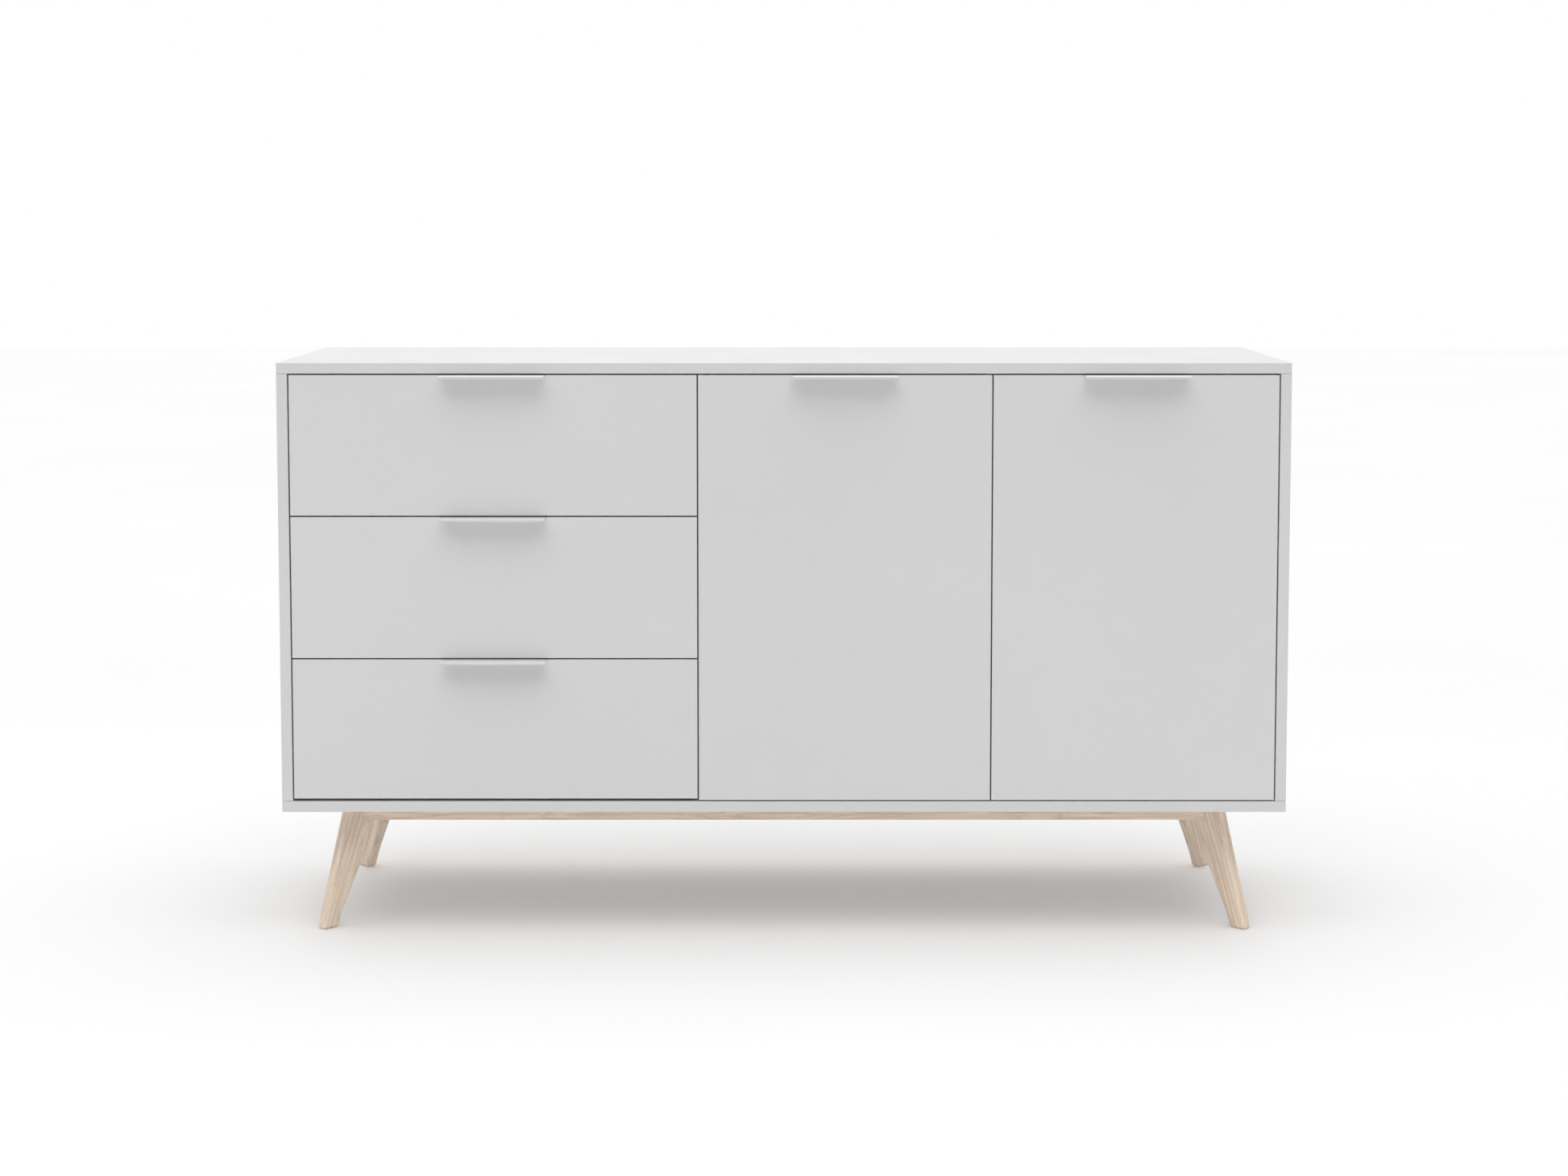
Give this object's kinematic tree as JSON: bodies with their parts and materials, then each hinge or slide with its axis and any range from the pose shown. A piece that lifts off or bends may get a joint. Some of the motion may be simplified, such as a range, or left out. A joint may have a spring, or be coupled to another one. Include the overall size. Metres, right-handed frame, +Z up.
{
  "type": "sideboard buffet",
  "caption": "Low white sideboard with stacked drawers beside hinged cupboard doors, edge pulls and splayed pale wood legs.",
  "frame": {"origin": "on the floor, at the middle of the whole outline with its pulls", "axes": "+Z up, the fronts face -Y, +X to the right seen from the front"},
  "size_m": [1.4, 0.423, 0.8],
  "materials": {
    "white_melamine": "matt white melamine facing with matching edge band",
    "white_hardboard": "thin hardboard with a white printed face",
    "pale_wood": "clear-lacquered pale ash",
    "white_metal": "matt white powder coat on bent sheet",
    "nickel": "nickel-plated pressed steel",
    "zinc": "zinc-plated rolled steel"
  },
  "bodies": {
    "cabinet": {"top_board": "white_melamine", "bottom_board": "white_melamine", "side_left": "white_melamine", "side_right": "white_melamine", "divider_left": "white_melamine", "divider_right": "white_melamine", "back_panel": "white_hardboard", "shelf_left": "white_melamine", "shelf_right": "white_melamine", "runner_top_left_outer": "zinc", "runner_top_right_outer": "zinc", "runner_middle_left_outer": "zinc", "runner_middle_right_outer": "zinc", "runner_bottom_left_outer": "zinc", "runner_bottom_right_outer": "zinc", "hinge_arm_left_upper": "nickel", "hinge_arm_left_lower": "nickel", "hinge_arm_right_upper": "nickel", "hinge_arm_right_lower": "nickel", "leg_front_left": "pale_wood", "leg_front_right": "pale_wood", "leg_rear_left": "pale_wood", "leg_rear_right": "pale_wood", "rail_front": "pale_wood", "rail_rear": "pale_wood", "rail_left": "pale_wood", "rail_right": "pale_wood"},
    "drawer_top": {"drawer_top_front": "white_melamine", "pull_drawer_top": "white_metal", "drawer_top_side_left": "white_melamine", "drawer_top_side_right": "white_melamine", "drawer_top_back": "white_melamine", "drawer_top_bottom": "white_hardboard", "runner_top_left_inner": "zinc", "runner_top_right_inner": "zinc"},
    "drawer_middle": {"drawer_middle_front": "white_melamine", "pull_drawer_middle": "white_metal", "drawer_middle_side_left": "white_melamine", "drawer_middle_side_right": "white_melamine", "drawer_middle_back": "white_melamine", "drawer_middle_bottom": "white_hardboard", "runner_middle_left_inner": "zinc", "runner_middle_right_inner": "zinc"},
    "drawer_bottom": {"drawer_bottom_front": "white_melamine", "pull_drawer_bottom": "white_metal", "drawer_bottom_side_left": "white_melamine", "drawer_bottom_side_right": "white_melamine", "drawer_bottom_back": "white_melamine", "drawer_bottom_bottom": "white_hardboard", "runner_bottom_left_inner": "zinc", "runner_bottom_right_inner": "zinc"},
    "door_left": {"door_left": "white_melamine", "pull_door_left": "white_metal", "hinge_cup_left_upper": "nickel", "hinge_cup_left_lower": "nickel"},
    "door_right": {"door_right": "white_melamine", "pull_door_right": "white_metal", "hinge_cup_right_upper": "nickel", "hinge_cup_right_lower": "nickel"}
  },
  "joints": [
    {"name": "drawer_top_slide", "type": "slide", "parent": "cabinet", "child": "drawer_top", "axis": [0, -1, 0], "range_m": [0, 0.295]},
    {"name": "drawer_middle_slide", "type": "slide", "parent": "cabinet", "child": "drawer_middle", "axis": [0, -1, 0], "range_m": [0, 0.295]},
    {"name": "drawer_bottom_slide", "type": "slide", "parent": "cabinet", "child": "drawer_bottom", "axis": [0, -1, 0], "range_m": [0, 0.295]},
    {"name": "door_left_hinge", "type": "hinge", "parent": "cabinet", "child": "door_left", "pos_m": [-0.116, -0.186, 0.486], "axis": [0, 0, -1], "range_deg": [0, 90]},
    {"name": "door_right_hinge", "type": "hinge", "parent": "cabinet", "child": "door_right", "pos_m": [0.6805, -0.186, 0.486], "axis": [0, 0, 1], "range_deg": [0, 95]}
  ]
}
